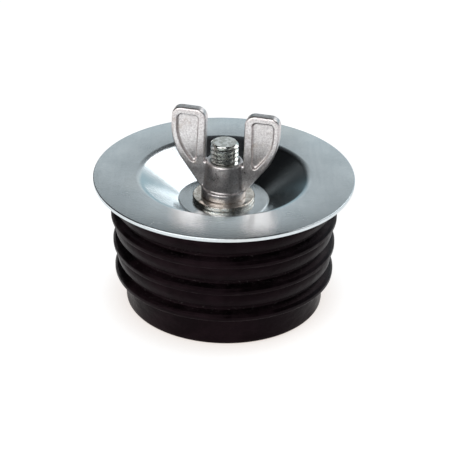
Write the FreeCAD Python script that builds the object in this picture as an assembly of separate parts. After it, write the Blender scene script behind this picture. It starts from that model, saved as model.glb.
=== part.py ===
import FreeCAD, Part
import math
import os
from FreeCAD import Vector

# Pipe expansion plug for a pipe of 3 inch bore, in millimetres.
# A ribbed rubber ring is squeezed between two dished steel plates by a carriage bolt and a wing nut.
# The origin is the centre of the rubber's bottom face, which the plug stands on, and +Z runs up the bolt.

# Heights of the stack
flange_height = 46.5          # base of the rubber to the top face of the upper plate's flange
bolt_rise = 12.5              # top face of the flange to the tip of the bolt
lower_plate_lift = 0.8        # base of the rubber up to the lower plate, so the plug stands on rubber

# Upper dished plate, pressed from sheet
upper_sheet = 1.5
upper_flange_r = 44.45
upper_rim_r = 28.8            # where the flat flange turns down into the dish, on the open side
upper_floor_r = 15.6          # edge of the flat floor of the dish, on the open side
upper_dish_depth = 9.0
upper_rim_bend = 2.6
upper_floor_bend = 0.5

# Lower dished plate, the same shape turned upside down and out of sight
lower_sheet = 1.5
lower_flange_r = 29.5
lower_rim_r = 22.5
lower_floor_r = 13.6
lower_rim_bend = 2.0
lower_floor_bend = 0.5

# Carriage bolt, 3/8 inch
bolt_r = 4.7625
bolt_length = 50.8            # under the head to the tip
bolt_tip_chamfer = 0.7
head_r = 10.6
head_height = 4.6
head_edge = 0.9               # upright edge of the head, below the dome
neck_side = 9.5
neck_length = 5.0

# Clearances
plate_hole_clearance = 0.4    # bolt to the round hole of the upper plate and of the washer
neck_clearance = 0.15         # square neck to the square hole
thread_clearance = 0.05       # bolt to the bore of the wing nut
rubber_clearance = 0.3        # rubber to the lower plate, which moves

# Flat washer
washer_r = 10.6
washer_thickness = 1.65

# Wing nut, die cast
nut_turn_deg = -12.0          # how far the wings stand turned from the X axis
nut_boss_r = 6.6
nut_boss_height = 13.0
nut_collar_r = 7.6
nut_collar_height = 3.2
nut_edge = 0.5                # rounding of the boss, the collar and the mouth of the bore
wing_tip_r = 18.2             # axis to the outside of a wing
wing_height = 32.3            # seat of the nut to the top of the wings
wing_gap_r = 6.9              # axis to the inside of a wing
wing_root_height = 12.4       # where the inside of a wing meets the boss
wing_heel_height = 2.4        # where the outside of a wing leaves the collar
wing_shoulder_height = 17.6   # where the slanting and the upright outline would meet
wing_sweep = 31.0             # radius of the outside curve
wing_outer_corner = 2.6
wing_inner_corner = 2.2
wing_thickness = 3.6
wing_edge = 0.9
panel_depth = 0.9             # recessed panel on each side of a wing
panel_rim = 1.9               # rim left round the panel at the sides
panel_top_rim = 2.8           # rim left above the panel
panel_corner = 0.9

# Rubber ring: each of its three steps is a broad rib, a narrow groove and a lip that overhangs the next step
lip_radii = (38.4, 37.8, 37.35)    # crest of each lip, from the top
first_rib_drop = 4.5          # top of the flange down to the upper edge of the first rib
rib_pitch = 10.3
rib_height = 4.9              # upper edge to lower edge of a rib
rib_inset = 0.45              # how far the rib stands back from the lip below it
rib_edge_inset = 0.55         # how far both edges of a rib stand back from its middle
rib_crown = 4.0               # rounding of the middle of a rib
groove_depth = 2.6
groove_width = 1.5
groove_rise = 0.6             # how far the groove's sides slope
lip_land = 1.4                # upright crest of a lip
lip_slope = 0.9               # height of the slope above the crest
lip_slope_inset = 0.7
top_neck_r = 36.0             # rubber under the flange, above the first rib
top_neck_drop = 1.0
skirt_r = 33.6
skirt_edge = 0.8
bore_r = 17.5


def rounded_wire(corners):
    """Close (x, z, radius) corners into a wire in the XZ plane, each corner rounded to its radius."""
    count = len(corners)
    points = [Vector(x, 0, z) for x, z, _ in corners]
    entries = []
    for i, (_, _, radius) in enumerate(corners):
        here = points[i]
        back = points[i - 1] - here
        ahead = points[(i + 1) % count] - here
        half = back.getAngle(ahead) / 2
        trim = 0.0
        if radius > 0:
            trim = min(radius / math.tan(half), 0.48 * back.Length, 0.48 * ahead.Length)
        back.normalize()
        ahead.normalize()
        start = here + back * trim
        end = here + ahead * trim
        middle = None
        if trim > 0:
            real_radius = trim * math.tan(half)
            bisector = back + ahead
            bisector.normalize()
            middle = here + bisector * (real_radius / math.sin(half) - real_radius)
        entries.append((start, middle, end))
    edges = []
    for i, (start, middle, end) in enumerate(entries):
        if middle is not None:
            edges.append(Part.Arc(start, middle, end).toShape())
        following = entries[(i + 1) % count][0]
        if (following - end).Length > 1e-6:
            edges.append(Part.LineSegment(end, following).toShape())
    return Part.Wire(edges)


def revolved(corners):
    """Turn a profile of (radius, z, rounding) corners once round the Z axis."""
    return Part.Face(rounded_wire(corners)).revolve(Vector(0, 0, 0), Vector(0, 0, 1), 360)


def sheet_shift(depth, rim_r, floor_r, sheet):
    """Return how far the corners of the back of a dished sheet lie outside those of its open side."""
    slope = math.atan2(depth, rim_r - floor_r)
    return sheet * math.tan(slope / 2)


def dished_plate(flange_r, rim_r, floor_r, depth, sheet, rim_bend, floor_bend):
    """Press a round plate with a flat-floored dish, its flange's top face at z = 0 and no hole yet."""
    shift = sheet_shift(depth, rim_r, floor_r, sheet)
    return revolved([
        (0, -depth, 0),
        (floor_r, -depth, floor_bend),
        (rim_r, 0, rim_bend + sheet),
        (flange_r, 0, 0),
        (flange_r, -sheet, 0),
        (rim_r + shift, -sheet, rim_bend),
        (floor_r + shift, -depth - sheet, floor_bend + sheet),
        (0, -depth - sheet, 0),
    ])


def round_hole(radius, bottom, top):
    """Make the cutter of a round hole on the axis, a little longer than the wall it goes through."""
    spare = 1.0
    return Part.makeCylinder(radius, top - bottom + 2 * spare, Vector(0, 0, bottom - spare))


# Heights that follow from the sizes
washer_seat = flange_height - upper_dish_depth
nut_seat = washer_seat + washer_thickness
bolt_tip = flange_height + bolt_rise
head_seat = bolt_tip - bolt_length
lower_dish_depth = head_seat - lower_plate_lift
clear_hole_r = bolt_r + plate_hole_clearance


def make_top_plate():
    """Make the upper plate, whose dish holds the washer and the foot of the wing nut."""
    plate = dished_plate(upper_flange_r, upper_rim_r, upper_floor_r, upper_dish_depth,
                         upper_sheet, upper_rim_bend, upper_floor_bend)
    plate.translate(Vector(0, 0, flange_height))
    return plate.cut(round_hole(clear_hole_r, washer_seat - upper_sheet, washer_seat))


def make_bottom_plate():
    """Make the lower plate, dished upwards round the head of the bolt, with a square hole for its neck."""
    plate = dished_plate(lower_flange_r, lower_rim_r, lower_floor_r, lower_dish_depth,
                         lower_sheet, lower_rim_bend, lower_floor_bend)
    plate.rotate(Vector(0, 0, 0), Vector(1, 0, 0), 180)
    plate.translate(Vector(0, 0, lower_plate_lift))
    hole_side = neck_side + 2 * neck_clearance
    hole = Part.makeBox(hole_side, hole_side, lower_sheet + 2,
                        Vector(-hole_side / 2, -hole_side / 2, head_seat - 1))
    return plate.cut(hole)


def make_bolt():
    """Make the carriage bolt: domed head below, square neck, and a round shank with a chamfered tip."""
    dome_rise = head_height - head_edge
    dome_r = (head_r ** 2 + dome_rise ** 2) / (2 * dome_rise)
    half_angle = math.asin(head_r / dome_r) / 2
    dome_start = Vector(head_r, 0, head_seat - head_edge)
    dome_middle = Vector(dome_r * math.sin(half_angle), 0,
                         head_seat - head_height + dome_r * (1 - math.cos(half_angle)))
    dome_end = Vector(0, 0, head_seat - head_height)
    outline = Part.Wire([
        Part.LineSegment(Vector(0, 0, head_seat), Vector(head_r, 0, head_seat)).toShape(),
        Part.LineSegment(Vector(head_r, 0, head_seat), dome_start).toShape(),
        Part.Arc(dome_start, dome_middle, dome_end).toShape(),
        Part.LineSegment(dome_end, Vector(0, 0, head_seat)).toShape(),
    ])
    head = Part.Face(outline).revolve(Vector(0, 0, 0), Vector(0, 0, 1), 360)
    neck = Part.makeBox(neck_side, neck_side, neck_length,
                        Vector(-neck_side / 2, -neck_side / 2, head_seat))
    shank = revolved([
        (0, head_seat, 0),
        (bolt_r, head_seat, 0),
        (bolt_r, bolt_tip - bolt_tip_chamfer, 0),
        (bolt_r - bolt_tip_chamfer, bolt_tip, 0),
        (0, bolt_tip, 0),
    ])
    return head.fuse([neck, shank]).removeSplitter()


def make_washer():
    """Make the flat washer between the upper plate and the wing nut."""
    return revolved([
        (clear_hole_r, washer_seat, 0),
        (washer_r, washer_seat, 0),
        (washer_r, nut_seat, 0),
        (clear_hole_r, nut_seat, 0),
    ])


def wing_outline(side_rim, top_rim, outer_corner, inner_corner, sweep):
    """Draw a wing in the XZ plane, set in by its rims, as (x, z, rounding) corners from the heel round."""
    heel = Vector(nut_collar_r, 0, wing_heel_height)
    shoulder = Vector(wing_tip_r, 0, wing_shoulder_height)
    rise = (shoulder.z - heel.z) / (shoulder.x - heel.x)
    lift = side_rim * math.sqrt(1 + rise ** 2)
    outside = wing_tip_r - side_rim
    inside = wing_gap_r + side_rim
    top = wing_height - top_rim

    def slant(x):
        return heel.z + rise * (x - heel.x) + lift

    return slant, [
        (outside, slant(outside), sweep),
        (outside, top, outer_corner),
        (inside, top, inner_corner),
    ]


def make_wing():
    """Make one wing towards +X, with a rounded rim and a recessed panel on each side."""
    slant, corners = wing_outline(0, 0, wing_outer_corner, wing_inner_corner, wing_sweep)
    root = bolt_r + thread_clearance + 0.4
    corners = ([(root, slant(nut_collar_r), 0), (nut_collar_r, slant(nut_collar_r), 0)] + corners
               + [(wing_gap_r, wing_root_height, 0), (root, wing_root_height, 0)])
    face = Part.Face(rounded_wire(corners))
    face.translate(Vector(0, -wing_thickness / 2, 0))
    wing = face.extrude(Vector(0, wing_thickness, 0))
    rim = [edge for edge in wing.Edges
           if abs(abs(edge.CenterOfMass.y) - wing_thickness / 2) < 1e-6
           and edge.CenterOfMass.x > wing_gap_r - 1e-6]
    wing = wing.makeFillet(wing_edge, rim)
    slant, corners = wing_outline(panel_rim, panel_top_rim, panel_corner, panel_corner,
                                  wing_sweep - panel_rim)
    inside = wing_gap_r + panel_rim
    panel = Part.Face(rounded_wire(corners + [(inside, slant(inside), panel_corner)]))
    for side in (-1, 1):
        cutter = panel.copy()
        cutter.translate(Vector(0, side * wing_thickness / 2, 0))
        wing = wing.cut(cutter.extrude(Vector(0, -side * panel_depth, 0)))
    return wing


def make_wing_nut():
    """Make the wing nut: a boss on a collar, with two wings that rise well above it."""
    bore_radius = bolt_r + thread_clearance
    body = revolved([
        (0, 0, 0),
        (nut_collar_r, 0, nut_edge / 2),
        (nut_collar_r, nut_collar_height, nut_edge),
        (nut_boss_r, nut_collar_height, nut_edge),
        (nut_boss_r, nut_boss_height, nut_edge),
        (0, nut_boss_height, 0),
    ])
    wing = make_wing()
    opposite = wing.copy()
    opposite.rotate(Vector(0, 0, 0), Vector(0, 0, 1), 180)
    nut = body.fuse([wing, opposite])
    nut = nut.cut(round_hole(bore_radius, 0, nut_boss_height))
    mouth = Part.makeCone(bore_radius, bore_radius + nut_edge, nut_edge,
                          Vector(0, 0, nut_boss_height - nut_edge))
    nut = nut.cut(mouth)
    nut.rotate(Vector(0, 0, 0), Vector(0, 0, 1), nut_turn_deg)
    nut.translate(Vector(0, 0, nut_seat))
    return nut


def step_corners(index):
    """Return the profile of one rib, of the groove below it and of its lip, whose underside stays open."""
    crest = lip_radii[index]
    rib_r = crest - rib_inset
    top = flange_height - first_rib_drop - index * rib_pitch
    bottom = top - rib_height
    middle = (top + bottom) / 2
    lip_bottom = top - rib_pitch
    groove_r = crest - groove_depth
    groove_top = bottom - groove_rise
    return [
        (rib_r - rib_edge_inset, top, 0),
        (rib_r, middle, rib_crown),
        (rib_r - rib_edge_inset, bottom, 0),
        (groove_r, groove_top, 0),
        (groove_r, groove_top - groove_width, 0),
        (crest - lip_slope_inset, lip_bottom + lip_land + lip_slope, 0),
        (crest, lip_bottom + lip_land, 0),
        (crest, lip_bottom, 0),
    ]


def cone_height(radius, rim_r, floor_r, depth, sheet):
    """Return the height of the back of a dished sheet below its flange's open face, at a radius."""
    shift = sheet_shift(depth, rim_r, floor_r, sheet)
    share = (rim_r + shift - radius) / (rim_r - floor_r)
    return sheet + depth * share


def make_rubber_ring():
    """Make the rubber ring: ribs and a plain skirt outside, and a bore that flares to both plates."""
    seat_top = flange_height - upper_sheet
    upper_shift = sheet_shift(upper_dish_depth, upper_rim_r, upper_floor_r, upper_sheet)
    lower_shift = sheet_shift(lower_dish_depth, lower_rim_r, lower_floor_r, lower_sheet)
    lower_back = lower_plate_lift + lower_sheet + rubber_clearance
    recess_r = lower_flange_r + rubber_clearance
    outside = [(top_neck_r, seat_top, 0), (top_neck_r, seat_top - top_neck_drop, 0)]
    for index in range(len(lip_radii)):
        outside += step_corners(index)
    skirt_top = flange_height - first_rib_drop - len(lip_radii) * rib_pitch
    outside += [(skirt_r, skirt_top, 0), (skirt_r, 0, skirt_edge)]
    upper_cone = flange_height - cone_height(bore_r, upper_rim_r, upper_floor_r, upper_dish_depth, upper_sheet)
    lower_cone = lower_plate_lift + rubber_clearance + cone_height(
        bore_r, lower_rim_r, lower_floor_r, lower_dish_depth, lower_sheet)
    inside = [
        (recess_r, 0, 0),
        (recess_r, lower_back, 0),
        (lower_rim_r + lower_shift, lower_back, lower_rim_bend),
        (bore_r, lower_cone, 0),
        (bore_r, upper_cone, 0),
        (upper_rim_r + upper_shift, seat_top, upper_rim_bend),
    ]
    return revolved(outside + inside)


parts = {
    "top_plate": make_top_plate,
    "rubber_ring": make_rubber_ring,
    "bottom_plate": make_bottom_plate,
    "carriage_bolt": make_bolt,
    "flat_washer": make_washer,
    "wing_nut": make_wing_nut,
}

os.makedirs("parts", exist_ok=True)
for node, make in parts.items():
    shape = make()
    box = shape.BoundBox
    print(node, "solids", len(shape.Solids), "valid", shape.isValid(), "volume", round(shape.Volume, 1),
          "z", round(box.ZMin, 2), round(box.ZMax, 2))
    shape.exportStep(os.path.join("parts", node + ".step"))
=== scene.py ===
"""Pipe expansion plug: a ribbed rubber ring squeezed between two dished plates by a bolt and a wing nut."""

import logging
import math
from collections.abc import Callable, Sequence
from dataclasses import dataclass
from enum import Enum

import bmesh
import bpy
from mathutils import Matrix, Vector, noise


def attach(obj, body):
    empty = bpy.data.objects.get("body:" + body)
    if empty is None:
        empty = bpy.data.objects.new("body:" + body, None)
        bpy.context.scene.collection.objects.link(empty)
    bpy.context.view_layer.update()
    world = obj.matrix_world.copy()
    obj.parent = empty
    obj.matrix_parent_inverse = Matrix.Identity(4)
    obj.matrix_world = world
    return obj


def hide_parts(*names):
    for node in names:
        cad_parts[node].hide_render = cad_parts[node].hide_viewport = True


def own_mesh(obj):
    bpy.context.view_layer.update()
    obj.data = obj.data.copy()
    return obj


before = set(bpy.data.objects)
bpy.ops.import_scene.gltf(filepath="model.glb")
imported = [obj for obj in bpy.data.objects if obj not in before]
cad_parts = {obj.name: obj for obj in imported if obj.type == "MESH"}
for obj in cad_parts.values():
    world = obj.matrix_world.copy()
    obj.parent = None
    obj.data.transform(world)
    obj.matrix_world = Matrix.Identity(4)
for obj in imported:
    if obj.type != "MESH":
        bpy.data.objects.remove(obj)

LOG = logging.getLogger("pipe_plug")
MM = 0.001
FULL_TURN = 2.0 * math.pi
Tint = tuple[float, float, float]


class Group(Enum):
    """The bodies that the pieces move with."""

    SEAL = "seal"
    DRAWBOLT = "drawbolt"
    NUT = "nut"


class Coating(Enum):
    """The record's material slots."""

    SHEET = "plated_sheet"
    RUBBER = "black_rubber"
    BOLT = "plated_bolt"
    WASHER = "plated_washer"
    ZINC = "cast_zinc"


# ---------------------------------------------------------------------------
# Node materials


class Recipe:
    """A node material that is written from its surface shader upwards."""

    def __init__(self, name: str) -> None:
        """Start a material with a surface shader and an output.

        Args:
            name: Name of the material.
        """
        self.material = bpy.data.materials.new(name)
        self.material.use_nodes = True
        self.tree = self.material.node_tree
        self.tree.nodes.clear()
        self.shader = self.tree.nodes.new("ShaderNodeBsdfPrincipled")
        output = self.tree.nodes.new("ShaderNodeOutputMaterial")
        self.tree.links.new(self.shader.outputs["BSDF"], output.inputs["Surface"])
        place = self.tree.nodes.new("ShaderNodeTexCoord")
        self.place = place.outputs["Object"]

    def constant(self, socket: str, value: float | tuple[float, ...]) -> None:
        """Set a socket of the surface shader to a value that is the same all over.

        Args:
            socket: Name of the shader's socket.
            value: The number or colour.
        """
        self.shader.inputs[socket].default_value = value

    def feed(self, socket: str, source: bpy.types.NodeSocket) -> None:
        """Let a node drive a socket of the surface shader.

        Args:
            socket: Name of the shader's socket.
            source: The output that drives it.
        """
        self.tree.links.new(source, self.shader.inputs[socket])

    def mapped(self, scale: tuple[float, float, float], turn: tuple[float, float, float] = (0, 0, 0)
               ) -> bpy.types.NodeSocket:
        """Stretch and turn the piece's own coordinates.

        Args:
            scale: Factor along each axis.
            turn: Rotation about each axis in radians.

        Returns:
            The stretched coordinates.
        """
        mapping = self.tree.nodes.new("ShaderNodeMapping")
        mapping.inputs["Scale"].default_value = scale
        mapping.inputs["Rotation"].default_value = turn
        self.tree.links.new(self.place, mapping.inputs["Vector"])
        return mapping.outputs["Vector"]

    def height(self) -> bpy.types.NodeSocket:
        """Return the height above the floor in metres."""
        split = self.tree.nodes.new("ShaderNodeSeparateXYZ")
        self.tree.links.new(self.place, split.inputs["Vector"])
        return split.outputs["Z"]

    def speckle(self, per_metre: float, detail: float = 2.0, roughness: float = 0.5,
                place: bpy.types.NodeSocket | None = None) -> bpy.types.NodeSocket:
        """Make cloudy noise.

        Args:
            per_metre: Number of clouds in a metre.
            detail: How many finer layers are added.
            roughness: Weight of the finer layers.
            place: Coordinates to use instead of the piece's own.

        Returns:
            The noise, from 0 to 1.
        """
        cloud = self.tree.nodes.new("ShaderNodeTexNoise")
        cloud.inputs["Scale"].default_value = per_metre
        cloud.inputs["Detail"].default_value = detail
        cloud.inputs["Roughness"].default_value = roughness
        self.tree.links.new(place or self.place, cloud.inputs["Vector"])
        return cloud.outputs["Fac"]

    def spread(self, value: bpy.types.NodeSocket, low: float, high: float, start: float = 0.3,
               end: float = 0.7) -> bpy.types.NodeSocket:
        """Map a value from one range to another, held at both ends.

        Args:
            value: The value to map.
            low: Result at the start of the range.
            high: Result at the end of the range.
            start: Start of the range that is read.
            end: End of the range that is read.

        Returns:
            The mapped value.
        """
        spread = self.tree.nodes.new("ShaderNodeMapRange")
        spread.inputs["From Min"].default_value = start
        spread.inputs["From Max"].default_value = end
        spread.inputs["To Min"].default_value = low
        spread.inputs["To Max"].default_value = high
        self.tree.links.new(value, spread.inputs["Value"])
        return spread.outputs["Result"]

    def worked_out(self, how: str, first: bpy.types.NodeSocket,
                   second: bpy.types.NodeSocket | float = 0.0) -> bpy.types.NodeSocket:
        """Work out a sum, a difference, a product or the like.

        Args:
            how: The operation, such as ADD or MULTIPLY.
            first: The first value.
            second: The second value or a number, for an operation that takes two.

        Returns:
            The result.
        """
        node = self.tree.nodes.new("ShaderNodeMath")
        node.operation = how
        self.tree.links.new(first, node.inputs[0])
        if isinstance(second, (int, float)):
            node.inputs[1].default_value = second
        else:
            self.tree.links.new(second, node.inputs[1])
        return node.outputs["Value"]

    def blended(self, share: bpy.types.NodeSocket, first: Tint | bpy.types.NodeSocket,
                second: Tint | bpy.types.NodeSocket) -> bpy.types.NodeSocket:
        """Blend two colours.

        Args:
            share: Share of the second colour.
            first: The first colour.
            second: The second colour.

        Returns:
            The blended colour.
        """
        mix = self.tree.nodes.new("ShaderNodeMix")
        mix.data_type = "RGBA"
        self.tree.links.new(share, mix.inputs[0])
        for socket, colour in ((mix.inputs[6], first), (mix.inputs[7], second)):
            if isinstance(colour, tuple):
                socket.default_value = (*colour, 1.0)
            else:
                self.tree.links.new(colour, socket)
        return mix.outputs[2]

    def relief(self, height: bpy.types.NodeSocket, depth: float, strength: float = 1.0,
               over: bpy.types.NodeSocket | None = None) -> bpy.types.NodeSocket:
        """Turn a height into a bumpy normal.

        Args:
            height: The height, from 0 to 1.
            depth: What a height of 1 measures in metres.
            strength: Share of the relief that shows.
            over: A normal that the relief is laid over.

        Returns:
            The normal.
        """
        bump = self.tree.nodes.new("ShaderNodeBump")
        bump.inputs["Strength"].default_value = strength
        bump.inputs["Distance"].default_value = depth
        self.tree.links.new(height, bump.inputs["Height"])
        if over is not None:
            self.tree.links.new(over, bump.inputs["Normal"])
        return bump.outputs["Normal"]


@dataclass(frozen=True)
class PlatedSheet:
    """Pressed steel sheet with satin zinc plating: cloudy, with a fine grain and faint rolling lines."""

    name: str = "plated_sheet"
    pale: Tint = (0.68, 0.73, 0.755)
    deep: Tint = (0.57, 0.63, 0.66)
    warm: Tint = (0.68, 0.67, 0.63)
    roughness: tuple[float, float] = (0.15, 0.25)
    grain_per_metre: float = 1700.0
    grain_depth: float = 0.000034
    grain_gloss: tuple[float, float] = (-0.03, 0.05)
    line_stretch: tuple[float, float, float] = (14.0, 0.8, 1.0)
    line_turn: float = 0.06
    line_share: float = 0.35
    warm_share: float = 0.35
    wave_depth: float = 0.00012

    def material(self) -> bpy.types.Material:
        """Return the finish as a material."""
        mix = Recipe(self.name)
        mix.constant("Metallic", 1.0)
        clouds = mix.spread(mix.speckle(90.0, 4.0, 0.6), 0.0, 1.0)
        rolled = mix.mapped(self.line_stretch, (0, 0, self.line_turn))
        lines = mix.spread(mix.speckle(60.0, 3.0, 0.6, rolled), 0.0, 1.0)
        body = mix.blended(mix.worked_out("MULTIPLY", lines, self.line_share), self.pale, self.deep)
        warmth = mix.spread(mix.speckle(34.0, 2.0), 0.0, self.warm_share, 0.5, 0.72)
        mix.feed("Base Color", mix.blended(warmth, body, self.warm))
        grain = mix.speckle(self.grain_per_metre, 2.5, 0.6)
        gloss = mix.worked_out("ADD", mix.spread(clouds, *self.roughness, 0.0, 1.0),
                               mix.spread(grain, *self.grain_gloss))
        mix.feed("Roughness", gloss)
        wave = mix.relief(mix.speckle(55.0, 1.0), self.wave_depth, 0.35)
        mix.feed("Normal", mix.relief(grain, self.grain_depth, 0.8, wave))
        return mix.material


@dataclass(frozen=True)
class BrightPlate:
    """Bright zinc plating on a turned or rolled part, with small scratches and a few dull spots."""

    name: str
    pale: Tint
    deep: Tint
    roughness: tuple[float, float] = (0.16, 0.30)
    grain_per_metre: float = 1800.0
    grain_depth: float = 0.000012

    def material(self) -> bpy.types.Material:
        """Return the finish as a material."""
        mix = Recipe(self.name)
        mix.constant("Metallic", 1.0)
        spots = mix.spread(mix.speckle(700.0, 4.0, 0.65), 0.0, 1.0, 0.42, 0.66)
        mix.feed("Base Color", mix.blended(spots, self.pale, self.deep))
        mix.feed("Roughness", mix.spread(spots, *self.roughness, 0.0, 1.0))
        scratches = mix.speckle(900.0, 2.0, 0.5, mix.mapped((6.0, 0.5, 0.5), (0.2, 0.1, 0.7)))
        scored = mix.relief(scratches, self.grain_depth, 0.35)
        mix.feed("Normal", mix.relief(mix.speckle(self.grain_per_metre, 2.0), self.grain_depth, 0.6, scored))
        return mix.material


@dataclass(frozen=True)
class CastZinc:
    """Die-cast zinc as it leaves the mould: a fine matt grain, small pits and a brownish bloom."""

    name: str = "cast_zinc"
    pale: Tint = (0.78, 0.75, 0.745)
    deep: Tint = (0.40, 0.355, 0.36)
    bloom: Tint = (0.44, 0.36, 0.30)
    roughness: tuple[float, float] = (0.26, 0.40)
    grain_per_metre: float = 1800.0
    grain_share: float = 0.75
    grain_depth: float = 0.000070
    bloom_share: float = 0.5
    swell_depth: float = 0.00010

    def material(self) -> bpy.types.Material:
        """Return the finish as a material."""
        mix = Recipe(self.name)
        mix.constant("Metallic", 1.0)
        grain = mix.speckle(self.grain_per_metre, 3.0, 0.7)
        patches = mix.speckle(260.0, 4.0, 0.6)
        body = mix.blended(mix.spread(grain, 0.0, self.grain_share, 0.38, 0.66), self.pale, self.deep)
        body = mix.blended(mix.spread(patches, 0.0, self.bloom_share, 0.56, 0.74), body, self.bloom)
        mix.feed("Base Color", body)
        mix.feed("Roughness", mix.spread(patches, *self.roughness))
        swell = mix.relief(mix.speckle(420.0, 2.0), self.swell_depth, 0.30)
        mix.feed("Normal", mix.relief(grain, self.grain_depth, 0.8, swell))
        return mix.material


@dataclass(frozen=True)
class MouldedRubber:
    """Black moulded rubber with a slight bloom, a painted highlight along each lip and dust in its grooves."""

    name: str = "black_rubber"
    body: Tint = (0.0014, 0.0007, 0.0010)
    bloom: Tint = (0.0085, 0.0048, 0.0062)
    # A painted highlight: a lighter colour laid in a broken band along each lip's lower edge, with its share,
    # height and reach below.
    lip_highlight: Tint = (0.060, 0.045, 0.050)
    dust: Tint = (0.055, 0.050, 0.050)
    lips: tuple[float, ...] = (31.7, 21.4, 11.1)
    roughness: tuple[float, float] = (0.26, 0.48)
    shine: float = 0.070
    shine_tint: Tint = (1.0, 0.62, 0.76)
    lip_highlight_share: float = 0.55
    lip_highlight_rise: float = 0.15
    lip_highlight_reach: float = 0.55
    dust_share: float = 0.75
    dust_rise: float = 3.6
    dust_reach: float = 1.5
    dent_depth: float = 0.00050
    grain_depth: float = 0.000020

    def band(self, mix: Recipe, centre: float, half_width: float) -> bpy.types.NodeSocket:
        """Mark a level band round the ring.

        Args:
            mix: The material that the band is for.
            centre: Height of the band's middle in millimetres.
            half_width: Half of the band's height in millimetres.

        Returns:
            1 at the middle of the band, falling to 0 at its edges.
        """
        offset = mix.worked_out("ABSOLUTE", mix.worked_out("SUBTRACT", mix.height(), centre * MM))
        return mix.spread(offset, 1.0, 0.0, 0.0, half_width * MM)

    def material(self) -> bpy.types.Material:
        """Return the finish as a material."""
        mix = Recipe(self.name)
        mix.constant("Specular IOR Level", self.shine)
        mix.constant("Specular Tint", (*self.shine_tint, 1.0))
        clouds = mix.speckle(110.0, 5.0, 0.62)
        body = mix.blended(mix.spread(clouds, 0.0, 1.0, 0.40, 0.66), self.body, self.bloom)
        broken = mix.spread(mix.speckle(190.0, 4.0, 0.6, mix.mapped((1.0, 1.0, 3.0))), 0.0, 1.0, 0.44, 0.68)
        specks = mix.spread(mix.speckle(1500.0, 2.0, 0.6), 0.0, 1.0, 0.60, 0.70)
        for lip in self.lips:
            # Painted highlight along the lip's lower edge, broken up by noise.
            highlit_band = mix.worked_out("MULTIPLY", self.band(mix, lip + self.lip_highlight_rise, self.lip_highlight_reach), broken)
            body = mix.blended(mix.worked_out("MULTIPLY", highlit_band, self.lip_highlight_share), body, self.lip_highlight)
            settled = mix.worked_out("MULTIPLY", self.band(mix, lip + self.dust_rise, self.dust_reach), specks)
            body = mix.blended(mix.worked_out("MULTIPLY", settled, self.dust_share), body, self.dust)
        mix.feed("Base Color", body)
        mix.feed("Roughness", mix.spread(clouds, *self.roughness))
        dents = mix.relief(mix.speckle(170.0, 3.0, 0.55, mix.mapped((1.0, 1.0, 2.2))), self.dent_depth, 0.55)
        mix.feed("Normal", mix.relief(mix.speckle(2400.0, 2.0), self.grain_depth, 0.5, dents))
        return mix.material


# ---------------------------------------------------------------------------
# Shapes


@dataclass(frozen=True)
class Corner:
    """A corner of an outline in the XZ plane, in millimetres, and the radius that rounds it."""

    x: float
    z: float
    rounding: float = 0.0


def outline(bm: bmesh.types.BMesh, corners: Sequence[Corner], segments: int) -> bmesh.types.BMFace:
    """Lay a flat face in the XZ plane and round its corners.

    Args:
        bm: The mesh to add to.
        corners: The corners in order.
        segments: Number of straight pieces in a rounded corner.

    Returns:
        The face.
    """
    earlier = set(bm.faces)
    points = [Vector((c.x, 0.0, c.z)) * MM for c in corners]
    verts = [bm.verts.new(p) for p in points]
    bm.faces.new(verts)
    for i, corner in enumerate(corners):
        if corner.rounding <= 0.0:
            continue
        back = points[i - 1] - points[i]
        ahead = points[(i + 1) % len(points)] - points[i]
        trim = min(corner.rounding * MM / math.tan(back.angle(ahead) / 2.0),
                   0.48 * back.length, 0.48 * ahead.length)
        bmesh.ops.bevel(bm, geom=[verts[i]], offset=trim, offset_type="OFFSET", segments=segments,
                        profile=0.5, affect="VERTICES", material=-1, clamp_overlap=False)
    return next(face for face in bm.faces if face not in earlier)


def turned(corners: Sequence[Corner], steps: int, segments: int = 5,
           refine: float | None = None) -> bmesh.types.BMesh:
    """Turn a rounded outline once round the Z axis.

    Args:
        corners: The outline's corners, whose x is a radius.
        steps: Number of steps in the turn.
        segments: Number of straight pieces in a rounded corner.
        refine: Longest edge of the outline in millimetres, or None to leave it.

    Returns:
        A closed mesh with its faces outwards.
    """
    bm = bmesh.new()
    outline(bm, corners, segments)
    bmesh.ops.delete(bm, geom=bm.faces[:], context="FACES_ONLY")
    if refine is not None:
        for edge in bm.edges[:]:
            cuts = int(edge.calc_length() / (refine * MM))
            if cuts > 0:
                bmesh.ops.subdivide_edges(bm, edges=[edge], cuts=cuts)
    bmesh.ops.spin(bm, geom=bm.verts[:] + bm.edges[:], cent=(0, 0, 0), axis=(0, 0, 1), dvec=(0, 0, 0),
                   angle=FULL_TURN, steps=steps, use_merge=True, use_normal_flip=False,
                   use_duplicate=False)
    bmesh.ops.remove_doubles(bm, verts=bm.verts[:], dist=1e-7)
    bmesh.ops.recalc_face_normals(bm, faces=bm.faces[:])
    return bm


def thicken(bm: bmesh.types.BMesh, face: bmesh.types.BMFace, start: float, end: float) -> None:
    """Give a flat face in the XZ plane a thickness along the Y axis.

    Args:
        bm: The face's mesh, which holds nothing else.
        face: The face.
        start: Where the face is moved to, in metres.
        end: Where the face is drawn out to, in metres.
    """
    bmesh.ops.translate(bm, verts=bm.verts[:], vec=(0, start, 0))
    grown = bmesh.ops.extrude_face_region(bm, geom=[face])
    moved = [v for v in grown["geom"] if isinstance(v, bmesh.types.BMVert)]
    bmesh.ops.translate(bm, verts=moved, vec=(0, end - start, 0))
    bmesh.ops.recalc_face_normals(bm, faces=bm.faces[:])


def rotate(bm: bmesh.types.BMesh, degrees: float, axis: str, height: float = 0.0) -> None:
    """Rotate a whole mesh.

    Args:
        bm: The mesh.
        degrees: The angle.
        axis: X, Y or Z.
        height: Height of the point that stays in place, in millimetres.
    """
    bmesh.ops.rotate(bm, verts=bm.verts[:], cent=(0, 0, height * MM),
                     matrix=Matrix.Rotation(math.radians(degrees), 3, axis))


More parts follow.
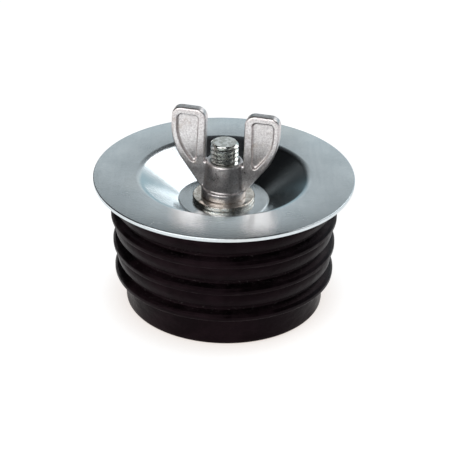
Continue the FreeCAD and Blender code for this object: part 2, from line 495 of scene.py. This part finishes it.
def lift(bm: bmesh.types.BMesh, height: float) -> None:
    """Lift a whole mesh.

    Args:
        bm: The mesh.
        height: How far, in millimetres.
    """
    bmesh.ops.translate(bm, verts=bm.verts[:], vec=(0, 0, height * MM))


def merge_into(target: bmesh.types.BMesh, source: bmesh.types.BMesh) -> None:
    """Add one mesh to another and free the first.

    Args:
        target: The mesh that receives the shape.
        source: The mesh that is added.
    """
    spare = bpy.data.meshes.new("spare")
    source.to_mesh(spare)
    source.free()
    target.from_mesh(spare)
    bpy.data.meshes.remove(spare)


def as_object(name: str, bm: bmesh.types.BMesh, sharp_degrees: float = 35.0) -> bpy.types.Object:
    """Make a smooth-shaded object of a mesh, with its steep edges kept sharp.

    Args:
        name: Name of the object.
        bm: The mesh, which is freed.
        sharp_degrees: Angle from which an edge stays sharp.

    Returns:
        The object, linked to the scene.
    """
    for face in bm.faces:
        face.smooth = True
    mesh = bpy.data.meshes.new(name)
    bm.to_mesh(mesh)
    bm.free()
    mesh.set_sharp_from_angle(angle=math.radians(sharp_degrees))
    made = bpy.data.objects.new(name, mesh)
    bpy.context.scene.collection.objects.link(made)
    return made


def settled_mesh(source: bpy.types.Object, name: str) -> bpy.types.Object:
    """Copy an object with its modifiers applied, and remove the first.

    Args:
        source: The object with live modifiers.
        name: Name of the copy.

    Returns:
        The copy.
    """
    graph = bpy.context.evaluated_depsgraph_get()
    graph.update()
    bm = bmesh.new()
    bm.from_mesh(bpy.data.meshes.new_from_object(source.evaluated_get(graph)))
    bpy.data.objects.remove(source)
    return as_object(name, bm)


@dataclass
class Part:
    """A piece that stands for a node of the frame."""

    node: str
    group: Group
    coating: Coating

    def shape(self) -> bpy.types.Object:
        """Build the piece's mesh.

        Returns:
            The object, without its finish.
        """
        raise NotImplementedError

    def make(self, finish: bpy.types.Material) -> None:
        """Build the piece, dress it and let it move with its body.

        Args:
            finish: The material that covers it.
        """
        piece = self.shape()
        piece.data.materials.clear()
        piece.data.materials.append(finish)
        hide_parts(self.node)
        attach(piece, self.group.value)
        self.soften(piece)
        LOG.info("%s: %d faces", piece.name, len(piece.data.polygons))

    def soften(self, piece: bpy.types.Object) -> None:
        """Give a piece that gives a mesh of its own, which a hard piece doesn't need.

        Args:
            piece: The finished object, which is not used here.
        """


@dataclass
class DishedPlate(Part):
    """A round plate pressed into a dish with a flat floor, in millimetres."""

    flange_r: float = 44.45
    rim_r: float = 28.8
    floor_r: float = 15.6
    depth: float = 9.0
    sheet: float = 1.5
    rim_bend: float = 2.6
    floor_bend: float = 0.5
    line_width: float = 0.45
    line_depth: float = 0.14
    line_edge: float = 0.06
    outer_edge: float = 0.36
    hole_edge: float = 0.15
    hole_reach: float = 0.3
    hole_r: float = 5.1625
    square_hole: float | None = None
    flange_face: float = 46.5
    upside_down: bool = False

    def profile(self) -> list[Corner]:
        """Return the section of the plate with its flange's face at z = 0 and its dish below."""
        shift = self.sheet * math.tan(math.atan2(self.depth, self.rim_r - self.floor_r) / 2.0)
        line_bottom = -self.depth - self.line_depth
        return [
            Corner(self.hole_r, -self.depth, self.hole_edge),
            Corner(self.floor_r - self.line_width, -self.depth, self.line_edge),
            Corner(self.floor_r - self.line_width * 0.7, line_bottom, self.line_edge),
            Corner(self.floor_r - self.line_width * 0.3, line_bottom, self.line_edge),
            Corner(self.floor_r, -self.depth, 0.1),
            Corner(self.rim_r, 0.0, self.rim_bend + self.sheet),
            Corner(self.flange_r, 0.0, self.outer_edge),
            Corner(self.flange_r, -self.sheet, self.outer_edge),
            Corner(self.rim_r + shift, -self.sheet, self.rim_bend),
            Corner(self.floor_r + shift, -self.depth - self.sheet, self.floor_bend + self.sheet),
            Corner(self.hole_r, -self.depth - self.sheet, self.hole_edge),
        ]

    def square_up(self, bm: bmesh.types.BMesh) -> None:
        """Push the round hole out to a square one.

        Args:
            bm: The plate's mesh.
        """
        half = self.square_hole * MM / 2.0
        for vert in bm.verts:
            if math.hypot(vert.co.x, vert.co.y) < (self.hole_r + self.hole_reach) * MM:
                grow = half / max(abs(vert.co.x), abs(vert.co.y))
                vert.co.x *= grow
                vert.co.y *= grow

    def shape(self) -> bpy.types.Object:
        """Press the plate and set it at its height."""
        bm = turned(self.profile(), 288, 8)
        if self.square_hole is not None:
            self.square_up(bm)
        if self.upside_down:
            rotate(bm, 180.0, "X")
        lift(bm, self.flange_face)
        return as_object(f"{self.node}_sheet", bm)


@dataclass
class FlatWasher(Part):
    """A flat washer with its edges rounded by tumbling, in millimetres."""

    hole_r: float = 5.1625
    rim_r: float = 10.6
    seat: float = 37.5
    top: float = 39.15
    edge: float = 0.35

    def shape(self) -> bpy.types.Object:
        """Stamp the washer."""
        bm = turned([
            Corner(self.hole_r, self.seat, self.edge),
            Corner(self.rim_r, self.seat, self.edge),
            Corner(self.rim_r, self.top, self.edge),
            Corner(self.hole_r, self.top, self.edge),
        ], 160, 5)
        return as_object("washer", bm)


@dataclass
class RubberRing(Part):
    """The moulded ring with three steps, each of them a rib, a groove and an overhanging lip, in millimetres."""

    lip_radii: tuple[float, ...] = (38.65, 38.1, 37.65)
    flange_face: float = 46.5
    sheet: float = 1.5
    first_rib_drop: float = 4.5
    pitch: float = 10.3
    rib_height: float = 4.9
    rib_inset: float = 0.45
    rib_edge_inset: float = 0.55
    groove_depth: float = 2.6
    groove_width: float = 1.5
    groove_rise: float = 0.6
    lip_land: float = 1.4
    lip_slope: float = 0.9
    lip_slope_inset: float = 0.7
    neck_r: float = 36.0
    skirt_r: float = 33.95
    bore_r: float = 17.5
    inner: tuple[Corner, ...] = (
        Corner(29.8, 0.0, 0.3),
        Corner(29.8, 2.85, 0.2),
        Corner(23.0, 2.85, 1.8),
        Corner(17.5, 8.4, 0.3),
        Corner(17.5, 36.95, 0.3),
        Corner(29.3, 44.95, 2.4),
    )
    draw_joint: str = "bolt_draw"
    keep: float = 0.8589
    waviness: float = 0.13
    waves_round: float = 60.0
    waves_up: float = 190.0
    calm_end: float = 2.0
    lean: float = 0.7

    def step(self, index: int) -> list[Corner]:
        """Return the outside of one step, from its rib down to its lip.

        Args:
            index: Number of the step from the top.

        Returns:
            The corners.
        """
        crest = self.lip_radii[index]
        rib_r = crest - self.rib_inset
        top = self.flange_face - self.first_rib_drop - index * self.pitch
        bottom = top - self.rib_height
        lip = top - self.pitch
        groove_r = crest - self.groove_depth
        groove_top = bottom - self.groove_rise
        return [
            Corner(rib_r - self.rib_edge_inset, top, 0.35),
            Corner(rib_r, (top + bottom) / 2.0, 4.0),
            Corner(rib_r - self.rib_edge_inset, bottom, 0.35),
            Corner(groove_r, groove_top, 0.45),
            Corner(groove_r, groove_top - self.groove_width, 0.45),
            Corner(crest - self.lip_slope_inset, lip + self.lip_land + self.lip_slope, 0.4),
            Corner(crest, lip + self.lip_land, 0.35),
            Corner(crest, lip, 0.35),
        ]

    def profile(self) -> list[Corner]:
        """Return the section of the whole ring."""
        top = self.flange_face - self.sheet
        corners = [Corner(self.neck_r, top, 0.3), Corner(self.neck_r, top - 1.0, 0.4)]
        for index in range(len(self.lip_radii)):
            corners += self.step(index)
        skirt_top = self.flange_face - self.first_rib_drop - len(self.lip_radii) * self.pitch
        corners += [Corner(self.skirt_r, skirt_top, 0.4), Corner(self.skirt_r, 0.0, 0.9)]
        return corners + list(self.inner)

    def unsettle(self, vert: bmesh.types.BMVert) -> None:
        """Move a point of the outside by the slight unevenness of rubber, which is never outwards.

        Args:
            vert: The point.
        """
        away = Vector((vert.co.x, vert.co.y, 0.0)).normalized()
        calm_top = self.flange_face - self.sheet - 0.5
        free = min(1.0, vert.co.z / (self.calm_end * MM),
                   max(0.0, (calm_top * MM - vert.co.z) / (self.calm_end * MM)))
        spot = vert.co * Vector((self.waves_round, self.waves_round, self.waves_up))
        swell = noise.noise(spot) * self.waviness
        sway = noise.noise(spot * 0.7 + Vector((7.0, 3.0, 1.0))) * self.waviness
        vert.co += away * (min(swell, 0.0) * free * MM)
        vert.co.z += sway * free * MM
        vert.co.x += self.lean * MM * max(0.0, 1.0 - vert.co.z / (self.flange_face * MM))

    def shape(self) -> bpy.types.Object:
        """Mould the ring, whose outside leans a little towards its base."""
        bm = turned(self.profile(), 300, 4, 1.1)
        outside = (self.skirt_r - 1.5) * MM
        for vert in bm.verts:
            if math.hypot(vert.co.x, vert.co.y) >= outside:
                self.unsettle(vert)
        return as_object("ribbed_rubber", bm, 50.0)

    def soften(self, piece: bpy.types.Object) -> None:
        """Give the ring a mesh of its own."""
        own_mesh(piece)


@dataclass
class CarriageBolt(Part):
    """A carriage bolt with a domed head, a square neck and a rolled right-hand thread, in millimetres."""

    radius: float = 4.7625
    root_r: float = 3.95
    pitch: float = 1.5875
    head_seat: float = 8.2
    tip: float = 59.0
    thread_start: float = 33.0
    head_r: float = 10.6
    head_height: float = 4.6
    head_edge: float = 0.9
    dome_steps: int = 12
    neck_side: float = 9.5
    neck_length: float = 5.0
    neck_edge: float = 0.5
    end_r: float = 4.05
    end_slope: float = 1.15
    steps: int = 72

    def head(self) -> bmesh.types.BMesh:
        """Turn the domed head."""
        rise = self.head_height - self.head_edge
        ball = (self.head_r ** 2 + rise ** 2) / (2.0 * rise)
        bottom = self.head_seat - self.head_height
        dome = []
        for i in range(1, self.dome_steps):
            x = self.head_r * i / self.dome_steps
            dome.append(Corner(x, bottom + ball - math.sqrt(ball ** 2 - x ** 2)))
        return turned([Corner(0.0, self.head_seat), Corner(0.0, bottom), *dome,
                       Corner(self.head_r, self.head_seat - self.head_edge, 0.4),
                       Corner(self.head_r, self.head_seat, 0.3)], 96, 4)

    def neck(self) -> bmesh.types.BMesh:
        """Forge the square neck."""
        bm = bmesh.new()
        bmesh.ops.create_cube(bm, size=1.0)
        size = (self.neck_side * MM, self.neck_side * MM, self.neck_length * MM)
        bmesh.ops.scale(bm, verts=bm.verts[:], vec=size)
        lift(bm, self.head_seat + self.neck_length / 2)
        upright = [e for e in bm.edges if abs(e.verts[0].co.z - e.verts[1].co.z) > MM]
        bmesh.ops.bevel(bm, geom=upright, offset=self.neck_edge * MM, segments=3, profile=0.5,
                        affect="EDGES", material=-1)
        return bm

    def thread(self) -> bmesh.types.BMesh:
        """Roll the thread as one helical turn after another, and cut and chamfer its end."""
        bm = bmesh.new()
        crest, root = self.pitch / 8.0, self.pitch / 4.0
        flank = (self.pitch - crest - root) / 2.0
        middle_r = (self.root_r + self.radius) / 2
        levels = [(0.0, self.root_r), (root, self.root_r), (root + flank * 0.5, middle_r),
                  (root + flank, self.radius), (root + flank + crest, self.radius),
                  (root + flank * 1.5 + crest, middle_r), (self.pitch, self.root_r)]
        verts = [bm.verts.new((r * MM, 0.0, (self.thread_start + z) * MM)) for z, r in levels]
        edges = [bm.edges.new(pair) for pair in zip(verts, verts[1:])]
        turns = math.ceil((self.tip - self.thread_start) / self.pitch) + 1
        bmesh.ops.spin(bm, geom=verts + edges, cent=(0, 0, 0), axis=(0, 0, 1),
                       dvec=(0, 0, self.pitch * MM / self.steps), angle=FULL_TURN * turns,
                       steps=self.steps * turns, use_merge=False, use_normal_flip=False,
                       use_duplicate=False)
        bmesh.ops.remove_doubles(bm, verts=bm.verts[:], dist=1e-6)
        bmesh.ops.bisect_plane(bm, geom=bm.verts[:] + bm.edges[:] + bm.faces[:], dist=1e-8,
                               plane_co=(0, 0, self.tip * MM), plane_no=(0, 0, 1), clear_outer=True)
        for vert in bm.verts:
            limit = (self.end_r + self.end_slope * (self.tip - vert.co.z / MM)) * MM
            across = math.hypot(vert.co.x, vert.co.y)
            if across > limit:
                vert.co.x *= limit / across
                vert.co.y *= limit / across
        bmesh.ops.holes_fill(bm, edges=[e for e in bm.edges if e.is_boundary], sides=0)
        bmesh.ops.recalc_face_normals(bm, faces=bm.faces[:])
        return bm

    def shape(self) -> bpy.types.Object:
        """Forge the bolt with its shank plain below the thread, which it runs into."""
        bm = self.head()
        merge_into(bm, self.neck())
        merge_into(bm, turned([
            Corner(0.0, self.head_seat + 0.5),
            Corner(self.radius, self.head_seat + 0.5),
            Corner(self.radius, self.thread_start + 1.6, 0.2),
            Corner(0.0, self.thread_start + 2.2),
        ], self.steps, 3))
        merge_into(bm, self.thread())
        return as_object("bolt", bm, 40.0)


@dataclass
class WingNut(Part):
    """A die-cast wing nut: a boss on a collar and two tall wings with recessed panels, in millimetres."""

    seat: float = 39.15
    turn_degrees: float = -12.0
    bore_r: float = 4.8125
    boss_r: float = 6.6
    boss_height: float = 13.0
    collar_r: float = 7.6
    collar_height: float = 3.2
    tip_r: float = 18.5
    height: float = 31.3
    gap_r: float = 6.6
    root_height: float = 12.4
    heel_height: float = 2.4
    shoulder_height: float = 17.6
    sweep: float = 31.0
    outer_corner: float = 3.2
    inner_corner: float = 3.5
    thickness: float = 3.6
    panel_depth: float = 1.25
    panel_rim: float = 1.9
    panel_top_rim: float = 2.3
    panel_inner_rim: float = 2.5
    panel_lean: float = 0.5
    panel_foot_rim: float = 2.5
    panel_slope: float = 0.6
    press_stroke: float = 0.8
    rim_round: float = 1.4
    tilt_degrees: float = 1.1
    grid: float = 0.19
    blending: int = 7
    blend_reach: tuple[float, float] = (5.7, 9.0)
    blend_aside: tuple[float, float] = (1.0, 3.6)
    blend_across: float = 4.6
    blend_bottom: float = 2.9

    def slant(self, x: float, rim: float) -> float:
        """Return the height of the wing's slanting outer side.

        Args:
            x: Distance from the axis.
            rim: How far the line is set in.

        Returns:
            The height above the nut's seat.
        """
        rise = (self.shoulder_height - self.heel_height) / (self.tip_r - self.collar_r)
        return self.heel_height + rise * (x - self.collar_r) + rim * math.sqrt(1.0 + rise ** 2)

    def body(self) -> bmesh.types.BMesh:
        """Cast the boss with its collar and bore."""
        return turned([
            Corner(self.bore_r, 0.0),
            Corner(self.collar_r, 0.0, 0.3),
            Corner(self.collar_r, self.collar_height - 0.2, 0.7),
            Corner(self.boss_r + 0.1, self.collar_height + 0.1, 0.5),
            Corner(self.boss_r - 0.45, self.boss_height, 0.45),
            Corner(self.bore_r + 0.35, self.boss_height),
            Corner(self.bore_r, self.boss_height - 0.4),
        ], 128, 4)

    def wing(self) -> bmesh.types.BMesh:
        """Cast the blank of one wing towards +X."""
        bm = bmesh.new()
        root = self.bore_r + 0.6
        half = self.thickness / 2.0
        face = outline(bm, [
            Corner(root, self.slant(self.collar_r, 0.0)),
            Corner(self.collar_r, self.slant(self.collar_r, 0.0)),
            Corner(self.tip_r, self.slant(self.tip_r, 0.0), self.sweep),
            Corner(self.tip_r, self.height, self.outer_corner),
            Corner(self.gap_r, self.height, self.inner_corner),
            Corner(self.gap_r, self.root_height, 0.0),
            Corner(root, self.root_height),
        ], 10)
        thicken(bm, face, -half * MM, half * MM)
        rims = [e for e in bm.edges if abs(e.verts[0].co.y - e.verts[1].co.y) < 1e-6]
        bmesh.ops.bevel(bm, geom=rims, offset=self.rim_round * MM, segments=5, profile=0.5, affect="EDGES",
                        material=-1, clamp_overlap=True)
        return bm

    def panel_tool(self, side: int) -> bmesh.types.BMesh:
        """Make the tool that presses one panel, with sloping sides.

        Args:
            side: -1 for the near side of the wing and 1 for the far side.

        Returns:
            The tool.
        """
        bm = bmesh.new()
        outer = self.tip_r - self.panel_rim
        inner = self.gap_r + self.panel_inner_rim
        foot = inner + self.panel_lean
        top = self.height - self.panel_top_rim
        face = outline(bm, [
            Corner(outer, self.slant(outer, self.panel_foot_rim), self.sweep - self.panel_rim),
            Corner(outer, top, 1.7),
            Corner(inner, top, 1.6),
            Corner(foot, self.slant(foot, self.panel_foot_rim), 1.4),
        ], 8)
        start = self.thickness / 2.0 + self.press_stroke
        bottom = self.thickness / 2.0 - self.panel_depth
        thicken(bm, face, side * bottom * MM, side * start * MM)
        deep = [f for f in bm.faces
                if abs(f.normal.y) > 0.9 and abs(f.calc_center_median().y) < start * MM * 0.9]
        bmesh.ops.bevel(bm, geom=list({e for f in deep for e in f.edges}), offset=self.panel_slope * MM,
                        segments=4, profile=0.5, affect="EDGES", material=-1, clamp_overlap=True)
        return bm

    def both_ways(self, make: Callable[[], bmesh.types.BMesh]) -> bmesh.types.BMesh:
        """Make a shape and the same shape turned half round the axis.

        Args:
            make: Makes the shape.

        Returns:
            Both shapes.
        """
        bm = make()
        other = make()
        rotate(other, 180.0, "Z")
        merge_into(bm, other)
        return bm

    def blend_roots(self, bm: bmesh.types.BMesh) -> None:
        """Round the inside corners where the wings leave the boss.

        Args:
            bm: The nut's mesh.
        """
        near, far = self.blend_reach
        inner, outer = self.blend_aside
        roots = [v for v in bm.verts
                 if near * MM < math.hypot(v.co.x, v.co.y) < far * MM
                 and inner * MM < abs(v.co.y) < outer * MM and abs(v.co.x) > self.blend_across * MM
                 and self.blend_bottom * MM < v.co.z < (self.root_height + 0.4) * MM]
        for _ in range(self.blending):
            bmesh.ops.smooth_vert(bm, verts=roots, factor=0.5, use_axis_x=True, use_axis_y=True,
                                  use_axis_z=True)

    def shape(self) -> bpy.types.Object:
        """Cast the nut in one piece, press its panels and set it on the washer."""
        wings = as_object("wings", self.both_ways(self.wing))
        near = self.both_ways(lambda: self.panel_tool(-1))
        merge_into(near, self.both_ways(lambda: self.panel_tool(1)))
        tools = as_object("panel_tools", near)
        press = wings.modifiers.new("panels", "BOOLEAN")
        press.operation = "DIFFERENCE"
        press.solver = "EXACT"
        press.object = tools
        pressed = settled_mesh(wings, "pressed_wings")
        bpy.data.objects.remove(tools)
        bm = self.body()
        bm.from_mesh(pressed.data)
        bpy.data.objects.remove(pressed)
        blank = as_object("nut_blank", bm)
        cast = blank.modifiers.new("cast", "REMESH")
        cast.mode = "VOXEL"
        cast.voxel_size = self.grid * MM
        even = blank.modifiers.new("even", "SMOOTH")
        even.factor = 0.5
        even.iterations = 5
        nut = settled_mesh(blank, "cast_nut")
        bm = bmesh.new()
        bm.from_mesh(nut.data)
        bpy.data.objects.remove(nut)
        self.blend_roots(bm)
        rotate(bm, self.tilt_degrees, "Y", self.boss_height / 2.0)
        rotate(bm, self.turn_degrees, "Z")
        lift(bm, self.seat)
        return as_object("winged_nut", bm, 60.0)


# ---------------------------------------------------------------------------
# Studio


@dataclass(frozen=True)
class Viewpoint:
    """The camera of the picture."""

    target: tuple[float, float, float] = (0.00064, 0.0, 0.0270)
    distance: float = 0.700
    elevation: float = 28.96
    roll: float = 1.1
    lens: float = 162.9
    sensor: float = 36.0

    def place(self) -> None:
        """Set up the camera and make it the scene's own."""
        rise = math.radians(self.elevation)
        tilt = math.radians(self.roll)
        look = Vector((0.0, math.cos(rise), -math.sin(rise)))
        up = Vector((0.0, math.sin(rise), math.cos(rise)))
        side = Vector((1.0, 0.0, 0.0))
        across = side * math.cos(tilt) + up * math.sin(tilt)
        upright = up * math.cos(tilt) - side * math.sin(tilt)
        data = bpy.data.cameras.new("camera")
        data.lens = self.lens
        data.sensor_width = self.sensor
        data.clip_start = 0.01
        camera = bpy.data.objects.new("camera", data)
        turn = Matrix((across, upright, -look)).transposed().to_4x4()
        camera.matrix_world = Matrix.Translation(Vector(self.target) - look * self.distance) @ turn
        bpy.context.scene.collection.objects.link(camera)
        bpy.context.scene.camera = camera


@dataclass(frozen=True)
class SoftBox:
    """A flat lamp that faces the plug."""

    name: str
    towards: tuple[float, float, float]
    size: tuple[float, float]
    radiance: float
    distance: float = 1.0
    roll: float = 0.0
    colour: Tint = (1.0, 1.0, 1.0)
    aim: tuple[float, float, float] = (0.0, 0.0, 0.04)

    def place(self) -> None:
        """Hang the lamp, as bright all over as its radiance says."""
        data = bpy.data.lights.new(self.name, "AREA")
        data.shape = "RECTANGLE"
        data.size, data.size_y = self.size
        data.energy = self.radiance * math.pi * self.size[0] * self.size[1]
        data.color = self.colour
        lamp = bpy.data.objects.new(self.name, data)
        direction = Vector(self.towards).normalized()
        lamp.location = Vector(self.aim) + direction * self.distance
        turn = direction.to_track_quat("Z", "Y").to_matrix() @ Matrix.Rotation(math.radians(self.roll), 3, "Z")
        lamp.rotation_euler = turn.to_euler()
        bpy.context.scene.collection.objects.link(lamp)


@dataclass(frozen=True)
class Studio:
    """A white table in a dark room, with soft lamps and a pale back wall low down.

    The room's light is the product of three curves: the height that is looked towards, from the floor (-1)
    to the zenith (1), the side, from left to right, and the depth, from the camera's end to the back wall.
    """

    floor_glow: float = 0.92
    floor_albedo: float = 0.34
    floor_r: float = 3.0
    floor_drop: float = 0.0002
    # Painted shade: the table's glow is darkened towards this colour near the plug, within this reach.
    painted_shade: Tint = (0.70, 0.62, 0.57)
    painted_shade_reach: float = 0.013
    painted_shade_samples: int = 12
    by_height: tuple[tuple[float, float | Tint], ...] = (
        (-0.1, (0.40, 0.60, 0.68)), (0.20, (0.42, 0.56, 0.62)), (0.42, (0.78, 0.82, 0.84)),
        (0.51, (0.45, 0.48, 0.49)), (0.60, (0.065, 0.07, 0.075)), (1.0, (0.03, 0.03, 0.032)))
    by_side: tuple[tuple[float, float | Tint], ...] = (
        (-0.70, 0.02), (-0.64, 0.03), (-0.58, 0.20), (-0.50, 0.05), (-0.40, 0.10), (-0.10, 0.94), (0.10, 1.0))
    by_depth: tuple[tuple[float, float | Tint], ...] = ((-0.30, 0.16), (0.0, 0.5), (0.25, 1.0))
    lamps: tuple[SoftBox, ...] = (
        SoftBox("right_box", (0.60, 0.39, 0.71), (0.34, 0.96), 2.3, 1.0, 56.0),
        SoftBox("top_box", (-0.15, -0.56, 0.81), (0.80, 0.32), 2.0, 1.0, 0.0),
        SoftBox("left_box", (-0.55, -0.80, 0.30), (1.4, 0.60), 3.2, 1.1, 0.0, (1.0, 0.99, 0.97)),
    )

    def direction(self, tree: bpy.types.NodeTree) -> tuple[bpy.types.NodeSocket, ...]:
        """Read the direction that is looked in.

        Args:
            tree: The world's nodes.

        Returns:
            Its parts along X, Y and Z.
        """
        place = tree.nodes.new("ShaderNodeTexCoord")
        split = tree.nodes.new("ShaderNodeSeparateXYZ")
        tree.links.new(place.outputs["Generated"], split.inputs["Vector"])
        return split.outputs["X"], split.outputs["Y"], split.outputs["Z"]

    def curve(self, tree: bpy.types.NodeTree, value: bpy.types.NodeSocket,
              stops: Sequence[tuple[float, float | Tint]]) -> bpy.types.NodeSocket:
        """Read brightness from a direction's part, which runs from -1 to 1.

        Args:
            tree: The world's nodes.
            value: The direction's part.
            stops: Pairs of the part and the brightness or colour.

        Returns:
            The brightness.
        """
        shift = tree.nodes.new("ShaderNodeMapRange")
        shift.inputs["From Min"].default_value = -1.0
        shift.inputs["From Max"].default_value = 1.0
        tree.links.new(value, shift.inputs["Value"])
        ramp = tree.nodes.new("ShaderNodeValToRGB")
        ramp.color_ramp.interpolation = "EASE"
        points = ramp.color_ramp.elements
        while len(points) < len(stops):
            points.new(0.5)
        for point, (part, level) in zip(points, stops):
            point.position = (part + 1.0) / 2.0
            point.color = (*level, 1.0) if isinstance(level, tuple) else (level, level, level, 1.0)
        tree.links.new(shift.outputs["Result"], ramp.inputs["Fac"])
        return ramp.outputs["Color"]

    def product(self, tree: bpy.types.NodeTree, first: bpy.types.NodeSocket,
                second: bpy.types.NodeSocket) -> bpy.types.NodeSocket:
        """Multiply two colours.

        Args:
            tree: The world's nodes.
            first: The first colour.
            second: The second colour.

        Returns:
            The product.
        """
        mix = tree.nodes.new("ShaderNodeMix")
        mix.data_type = "RGBA"
        mix.blend_type = "MULTIPLY"
        mix.inputs[0].default_value = 1.0
        tree.links.new(first, mix.inputs[6])
        tree.links.new(second, mix.inputs[7])
        return mix.outputs[2]

    def world(self) -> None:
        """Light the room: white to the eye, and pale low down and dark above in what the metal mirrors."""
        world = bpy.data.worlds.new("room")
        bpy.context.scene.world = world
        world.use_nodes = True
        tree = world.node_tree
        tree.nodes.clear()
        output = tree.nodes.new("ShaderNodeOutputWorld")
        x, y, z = self.direction(tree)
        level = self.product(tree, self.curve(tree, z, self.by_height), self.curve(tree, x, self.by_side))
        tinted = self.product(tree, level, self.curve(tree, y, self.by_depth))
        seen = tree.nodes.new("ShaderNodeBackground")
        seen.inputs["Color"].default_value = (1.0, 1.0, 1.0, 1.0)
        felt = tree.nodes.new("ShaderNodeBackground")
        tree.links.new(tinted, felt.inputs["Color"])
        path = tree.nodes.new("ShaderNodeLightPath")
        choose = tree.nodes.new("ShaderNodeMixShader")
        tree.links.new(path.outputs["Is Camera Ray"], choose.inputs["Fac"])
        tree.links.new(felt.outputs["Background"], choose.inputs[1])
        tree.links.new(seen.outputs["Background"], choose.inputs[2])
        tree.links.new(choose.outputs["Shader"], output.inputs["Surface"])

    def white_table(self) -> bpy.types.Material:
        """Return a white that glows to the camera and in mirrors, with a painted shade in the glow where
        something is close by.
        """
        material = bpy.data.materials.new("white_table")
        material.use_nodes = True
        tree = material.node_tree
        tree.nodes.clear()
        output = tree.nodes.new("ShaderNodeOutputMaterial")
        paint = tree.nodes.new("ShaderNodeBsdfDiffuse")
        paint.inputs["Color"].default_value = (self.floor_albedo,) * 3 + (1.0,)
        glow = tree.nodes.new("ShaderNodeEmission")
        # Painted shade: ambient occlusion darkens the glow near the plug.
        nearby = tree.nodes.new("ShaderNodeAmbientOcclusion")
        nearby.samples = self.painted_shade_samples
        nearby.inputs["Distance"].default_value = self.painted_shade_reach
        painted_shade = tree.nodes.new("ShaderNodeMix")
        painted_shade.data_type = "RGBA"
        tree.links.new(nearby.outputs["AO"], painted_shade.inputs[0])
        painted_shade.inputs[6].default_value = (*self.painted_shade, 1.0)
        painted_shade.inputs[7].default_value = (1.0, 1.0, 1.0, 1.0)
        tree.links.new(painted_shade.outputs[2], glow.inputs["Color"])
        path = tree.nodes.new("ShaderNodeLightPath")
        eye = tree.nodes.new("ShaderNodeMath")
        eye.operation = "MULTIPLY"
        eye.inputs[1].default_value = self.floor_glow
        seen = tree.nodes.new("ShaderNodeMath")
        seen.operation = "MAXIMUM"
        tree.links.new(path.outputs["Is Camera Ray"], seen.inputs[0])
        tree.links.new(path.outputs["Is Glossy Ray"], seen.inputs[1])
        tree.links.new(seen.outputs["Value"], eye.inputs[0])
        tree.links.new(eye.outputs["Value"], glow.inputs["Strength"])
        both = tree.nodes.new("ShaderNodeAddShader")
        tree.links.new(paint.outputs["BSDF"], both.inputs[0])
        tree.links.new(glow.outputs["Emission"], both.inputs[1])
        tree.links.new(both.outputs["Shader"], output.inputs["Surface"])
        return material

    def floor(self) -> None:
        """Lay the white table, which keeps the plug's shadow and adds a painted shade round its base."""
        bm = bmesh.new()
        bmesh.ops.create_circle(bm, cap_ends=True, segments=96, radius=self.floor_r)
        table = as_object("table", bm)
        table.location.z = -self.floor_drop
        table.data.materials.append(self.white_table())

    def light(self) -> None:
        """Light the room, lay the table and hang the lamps."""
        self.world()
        self.floor()
        for lamp in self.lamps:
            lamp.place()


# ---------------------------------------------------------------------------
# The whole picture


def main() -> None:
    """Build the plug piece by piece, then the studio and the camera."""
    logging.basicConfig(level=logging.INFO, format="%(name)s %(message)s")
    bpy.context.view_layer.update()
    sheet = PlatedSheet().material()
    DishedPlate("top_plate", Group.SEAL, Coating.SHEET).make(sheet)
    DishedPlate("bottom_plate", Group.DRAWBOLT, Coating.SHEET, flange_r=29.5, rim_r=22.5, floor_r=13.6,
                depth=7.4, rim_bend=2.0, hole_r=4.9, square_hole=9.8, flange_face=0.8,
                upside_down=True).make(sheet)
    RubberRing("rubber_ring", Group.SEAL, Coating.RUBBER).make(MouldedRubber().material())
    CarriageBolt("carriage_bolt", Group.DRAWBOLT, Coating.BOLT).make(
        BrightPlate("plated_bolt", (0.74, 0.76, 0.74), (0.52, 0.52, 0.47), grain_depth=0.000005).material())
    FlatWasher("flat_washer", Group.SEAL, Coating.WASHER).make(
        BrightPlate("plated_washer", (0.84, 0.80, 0.74), (0.56, 0.50, 0.43)).material())
    WingNut("wing_nut", Group.NUT, Coating.ZINC).make(CastZinc().material())
    Studio().light()
    Viewpoint().place()
    scene = bpy.context.scene
    scene.view_settings.view_transform = "Standard"


if __name__ == "__main__":
    main()
